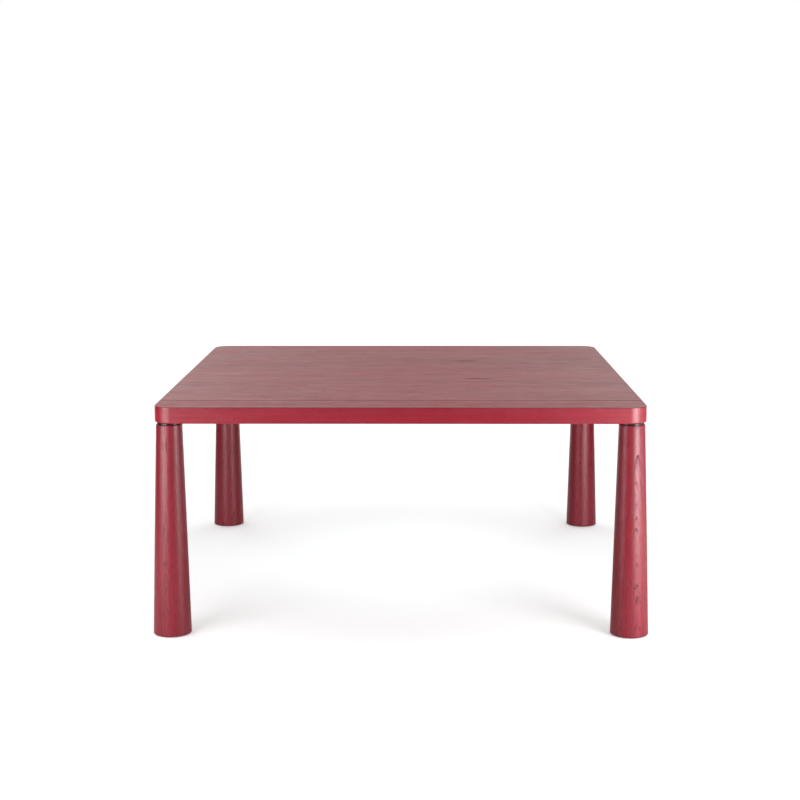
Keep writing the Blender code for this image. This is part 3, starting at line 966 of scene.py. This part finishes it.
joint = {
    "discSides": 128,
    "discEase": 0.6 * mm,
    "countersinkSides": 48,
    "studSides": 40,
    "studPitch": 1.75 * mm,
    "studThread": 0.95 * mm,
    "studSteps": 6,  # to one turn of its thread
    "studEase": 1.2 * mm,
    "insertSides": 56,
    "insertCollar": 1.6 * mm,
    "insertPitch": 3.0 * mm,
    "insertThread": 0.9 * mm,
    "insertSteps": 8,
    "padSides": 96,
    "padRound": 0.8 * mm,
    "padSteps": 4,
}


def buildDiscs():
    low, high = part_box("mounting_disc_front_left")
    outer, ease = (high.x - low.x) / 2, joint["discEase"]
    bore = width("leg_stud_front_left") / 2 + fit
    section = [
        (bore, high.z), (outer - ease, high.z), (outer, high.z - ease),
        (outer, low.z + ease), (outer - ease, low.z), (bore, low.z), (bore, high.z),
    ]
    shape = turned("mounting_disc", section, joint["discSides"], blackSteel)
    head, shank = width("disc_screw_front_left_1") / 2 + fit, discScrew["shank"] / 2 + fit
    above, below = high.z + cutterPast, low.z - cutterPast
    countersink = [
        (0.0, above), (shank, above), (shank, low.z + head - shank),
        (head, low.z), (head, below), (0.0, below),
    ]
    hole = turned("countersink", countersink, joint["countersinkSides"], blackSteel)
    axis = middle("mounting_disc_front_left")
    holes = []
    for number in range(1, discScrew["count"] + 1):
        off = middle(f"disc_screw_front_left_{number}") - axis
        holes.append(moved(hole, (off.x, off.y, 0.0)))
    standAtLegs("steel_disc", cut(shape, holes), "black_steel", "mounting_disc")


def buildStuds():
    low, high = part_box("leg_stud_front_left")
    radius, ease = width("leg_stud_front_left") / 2, joint["studEase"]
    rod = rodPoints(radius, high.z, low.z + ease, joint["studPitch"] / joint["studSteps"])
    profile = [(0.0, high.z), *rod, (radius - ease, low.z), (0.0, low.z)]
    thread = (joint["studPitch"], joint["studThread"], low.z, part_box("mounting_disc_front_left")[0].z)
    shape = turned("leg_stud", profile, joint["studSides"], zinc, thread)
    standAtLegs("threaded_stud", shape, "zinc_steel", "leg_stud")


def buildInserts():
    low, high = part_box("threaded_insert_front_left")
    collar, neck = width("threaded_insert_front_left") / 2, high.z - joint["insertCollar"]
    bore = width("leg_stud_front_left") / 2 + fit
    shell = rodPoints(leg["insertDiameter"] / 2, neck, low.z, joint["insertPitch"] / joint["insertSteps"])
    profile = [(bore, high.z), (collar, high.z), (collar, neck), *shell, (bore, low.z), (bore, high.z)]
    thread = (joint["insertPitch"], joint["insertThread"], low.z, neck)
    shape = turned("threaded_insert", profile, joint["insertSides"], brass, thread)
    standAtLegs("brass_insert", shape, "brass", "threaded_insert")


def buildPads():
    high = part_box("felt_pad_front_left")[1]
    radius, ease = width("felt_pad_front_left") / 2, joint["padRound"]
    lower = arc((radius - ease, ease), ease, 0, -90, joint["padSteps"])
    profile = [(0.0, high.z), (radius, high.z), *lower, (0.0, 0.0)]
    standAtLegs("felt_glide", turned("felt_pad", profile, joint["padSides"], felt), "felt", "felt_pad")


def buildDiscScrews():
    model = screwModel("wood_screw", discScrew, [(discScrew["head"] / 2, 0.0), (0.0, 0.0)], discScrew["sink"])
    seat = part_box("mounting_disc_front_left")[0].z
    for seed, corner in enumerate(corners):
        nodes = [f"disc_screw_{corner}_{number}" for number in range(1, discScrew["count"] + 1)]
        places = [(middle(node).x, middle(node).y, seat) for node in nodes]
        trio = scattered("disc_screws", model, places, seed, zinc)
        newPiece(f"disc_screws_{corner}", trio, "zinc_steel", *nodes)


buildDiscs()
buildStuds()
buildInserts()
buildPads()
buildDiscScrews()
print("leg joints built")


# steel channels let into the underside, which keep the glued top flat

def channelSection(bottom, upper):
    # a bent web below and two flanges up, round its right half and back round its left
    half, wall, tip = channel["width"] / 2, channel["wall"], channel["tipRound"]
    outer, inner = channel["outerBend"], channel["innerBend"]
    right = arc((half - outer, bottom + outer), outer, -90, 0, channel["outerSteps"])
    right += arc((half - tip, upper - tip), tip, 0, 90, channel["tipSteps"])
    right += arc((half - wall + tip, upper - tip), tip, 90, 180, channel["tipSteps"])
    right += arc((half - wall - inner, bottom + wall + inner), inner, 0, -90, channel["innerSteps"])
    return right + [(-x, z) for x, z in reversed(right)]


def slotCutter(y, bottom):
    # lets the wood move under the screw
    radius, play, steps = channel["slotWidth"] / 2, channel["slotPlay"], channel["slotSteps"]
    outline = arc((0.0, y + play), radius, 0, 180, steps) + arc((0.0, y - play), radius, 180, 360, steps)
    start = [(across, along, bottom - cutterPast) for across, along in outline]
    return drawnOut("slot", start, (0.0, 0.0, channel["wall"] + 2 * cutterPast))


def panHead():
    # a flat seat with a crown below it
    radius, height, start = channelScrew["head"] / 2, channelScrew["headHeight"], channelScrew["crownFrom"]
    steps = channelScrew["crownSteps"]
    angles = [math.radians(90 * step / steps) for step in range(steps)]
    crown = [(radius * math.cos(a), -height * (start + (1 - start) * math.sin(a))) for a in angles]
    return [(radius, 0.0), *crown, (0.0, -height)]


def buildChannels():
    model = screwModel("pan_head", channelScrew, panHead(), 0.0)
    for number in range(1, channel["count"] + 1):
        node = f"steel_channel_{number}"
        low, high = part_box(node)
        end = [(x, low.y, z) for x, z in channelSection(low.z, high.z)]
        bar = drawnOut(node, end, (0.0, high.y - low.y, 0.0))
        nodes = [f"channel_screw_{number}_{place}" for place in range(1, channelScrew["count"] + 1)]
        slots = [slotCutter(middle(screw).y, low.z) for screw in nodes]
        mesh = moved(cut(bar, slots), (middle(node).x, 0.0, 0.0))
        mesh.materials.append(blackSteel)
        newPiece(f"flat_channel_{number}", mesh, "black_steel", node)

        places = [(middle(screw).x, middle(screw).y, underside) for screw in nodes]
        row = scattered("channel_screws", model, places, channel["seed"] + number, zinc)
        newPiece(f"channel_screws_{number}", row, "zinc_steel", *nodes)


buildChannels()
print("channels built:", channel["count"])


# the studio: a white floor, soft boxes in front and to the sides, and a room that is pale behind and overhead

studio = {
    "floorSide": 60.0,
    "floorColour": rgb(0.85, 0.85, 0.85),
    "floorRoughness": 0.9,
    "middleGlow": rgb(0.62, 0.70, 0.70),  # under the table, against the red that it casts there
    "legGlow": rgb(0.30, 0.33, 0.33),
    "farGlow": rgb(0.45, 0.45, 0.45),
    "glowMiddle": (0.0, 0.10, 0.0),
    "glowAt": (0.20, 1.00, 1.20, 3.00),  # metres off: middleGlow up to, legGlow from and up to, farGlow from
    "bounceSide": 4.8,
    "bounceColour": rgb(0.60, 0.60, 0.60),
    "bounceBelow": 1 * mm,

    # the room, by direction: x to the right, y away from the camera, z up
    "backMiddle": 0.476,
    "backSides": 1.75,
    "backSteep": 10.0,  # how soon the wall behind brightens from its middle to its sides
    "sideFade": (0.25, 0.70),  # of x squared
    "frontFade": (-0.45, 0.15),
    "ceiling": 1.09,
    "ceilingSpan": (0.35, 0.95),
    "warmWall": rgb(1.0, 1.0, 0.92),  # low on the wall behind
    "warmSpan": (0.10, 0.40),
    "white": rgb(1.0, 1.0, 1.0),

    "lights": {
        "keyRight": {
            "at": (1.75, -1.90, 0.65), "aim": (1.2, 0.2, 0.65),
            "size": (0.90, 0.98), "watts": 31.0,
        },
        "fillLeft": {
            "at": (-1.75, -2.05, 0.70), "aim": (-1.2, 0.2, 0.70),
            "size": (1.25, 1.06), "watts": 28.8,
        },
        "frontRight": {
            "at": (1.45, -2.25, 0.60), "aim": (0.4, -0.6, 0.60),
            "size": (0.60, 1.10), "watts": 5.2,
        },
        "frontMiddle": {
            "at": (0.0, -4.50, 0.90), "aim": (0.0, 0.0, 0.70),
            "size": (2.40, 1.00), "watts": 7.5,
        },
        "lowRight": {
            "at": (2.00, -1.60, 0.25), "aim": (0.6, -0.6, 0.25),
            "size": (0.70, 0.50), "watts": 5.8,
        },
        "sideLeft": {
            "at": (-2.00, -1.50, 0.60), "aim": (-0.75, -0.75, 0.50),
            "size": (0.40, 0.90), "watts": 3.0,
        },
        "footRight": {
            "at": (2.10, -0.75, 0.30), "aim": (0.6, -0.75, 0.30),
            "size": (0.80, 0.60), "watts": 3.2,
        },
    },
}


def addFloor(name, side, material):
    half = side / 2
    outline = [(-half, -half, 0), (half, -half, 0), (half, half, 0), (-half, half, 0)]
    mesh = bpy.data.meshes.new(name)
    mesh.from_pydata(outline, [], [(0, 1, 2, 3)])
    mesh.materials.append(material)
    floor = bpy.data.objects.new(name, mesh)
    scene.collection.objects.link(floor)
    return floor


def whiteFloor():
    # it glows as much as it takes to be white, so that only the shadows at the feet are seen on it
    material, tree = newMaterial("whiteFloor")
    where = objectPlace(tree)
    offset = where.vector("SUBTRACT", where, studio["glowMiddle"])
    away = offset.vector("LENGTH", offset, output="Value")
    leaves, atLegs, pastLegs, farOff = studio["glowAt"]
    glow = mixColour(away.ramp(leaves, atLegs), studio["middleGlow"], studio["legGlow"])
    glow = mixColour(away.ramp(pastLegs, farOff), glow, studio["farGlow"])
    return shade(material, {
        "Base Color": studio["floorColour"],
        "Roughness": studio["floorRoughness"],
        "Specular IOR Level": 0.0,
        "Emission Color": glow,
        "Emission Strength": 1.0,
    })


def bounceFloor():
    material, _ = newMaterial("bounceFloor")
    return shade(material, {
        "Base Color": studio["bounceColour"],
        "Roughness": studio["floorRoughness"],
        "Specular IOR Level": 0.0,
    })


def buildFloors():
    # the camera sees one floor, and the table is lit from below by the other
    seen = addFloor("studio_floor", studio["floorSide"], whiteFloor())
    seen.visible_diffuse = seen.visible_glossy = seen.visible_shadow = False
    bounce = addFloor("bounce_floor", studio["bounceSide"], bounceFloor())
    bounce.location.z = -studio["bounceBelow"]
    bounce.visible_camera = bounce.visible_shadow = False


def buildLights():
    for name, made in studio["lights"].items():
        data = bpy.data.lights.new(name, "AREA")
        data.shape = "RECTANGLE"
        data.size, data.size_y = made["size"]
        data.energy = made["watts"]
        lamp = bpy.data.objects.new(name, data)
        scene.collection.objects.link(lamp)
        lamp.location = made["at"]
        aim = Vector(made["aim"]) - lamp.location
        lamp.rotation_euler = aim.to_track_quat("-Z", "Y").to_euler()
        lamp.visible_camera = False


def buildWorld():
    world = bpy.data.worlds.new("studio")
    scene.world = world
    world.use_nodes = True
    tree = world.node_tree
    tree.nodes.clear()
    x, y, z = split(addNode(tree, "ShaderNodeTexCoord", {}, output="Generated"))
    outwards = (x * x * studio["backSteep"]).clamp()
    wall = studio["backMiddle"] + outwards * (studio["backSides"] - studio["backMiddle"])
    wall = wall * (1.0 - (x * x).ramp(*studio["sideFade"])) * y.ramp(*studio["frontFade"])
    room = wall + z.ramp(*studio["ceilingSpan"]) * (studio["ceiling"] - wall)
    seen = addNode(tree, "ShaderNodeLightPath", output="Is Camera Ray")
    glow = room + seen * (1.0 - room)
    upwards = z.ramp(*studio["warmSpan"])
    tint = mixColour(upwards.math("MAXIMUM", upwards, seen), studio["warmWall"], studio["white"])
    back = addNode(tree, "ShaderNodeBackground", {}, {"Color": tint, "Strength": glow})
    addNode(tree, "ShaderNodeOutputWorld", {}, (back,))


view = {
    "eye": (0.0634, -5.6631, 1.5701),
    "yaw": -0.0129,
    "pitch": 0.1079,
    "roll": -0.0016,
    "focalPixels": 1531.9,
    "imageSide": 800,
    "axisAt": 320,  # the row that the lens points at
}


def buildCamera():
    yaw, pitch, roll = view["yaw"], view["pitch"], view["roll"]
    ahead = Vector((math.sin(yaw) * math.cos(pitch), math.cos(yaw) * math.cos(pitch), -math.sin(pitch)))
    right = Vector((math.cos(yaw), -math.sin(yaw), 0.0))
    up = right.cross(ahead)
    sideways = right * math.cos(roll) + up * math.sin(roll)
    upwards = up * math.cos(roll) - right * math.sin(roll)
    lens = bpy.data.cameras.new("photoCamera")
    lens.sensor_fit = "HORIZONTAL"
    lens.lens = view["focalPixels"] / view["imageSide"] * lens.sensor_width
    lens.shift_y = (view["axisAt"] - view["imageSide"] / 2) / view["imageSide"]
    lens.dof.use_dof = False
    camera = bpy.data.objects.new("photoCamera", lens)
    scene.collection.objects.link(camera)
    axes = Matrix((sideways, upwards, -ahead)).transposed().to_4x4()
    camera.matrix_world = Matrix.Translation(view["eye"]) @ axes
    scene.camera = camera


buildFloors()
buildLights()
buildWorld()
buildCamera()
scene.view_settings.view_transform = "Standard"
print("studio lit")
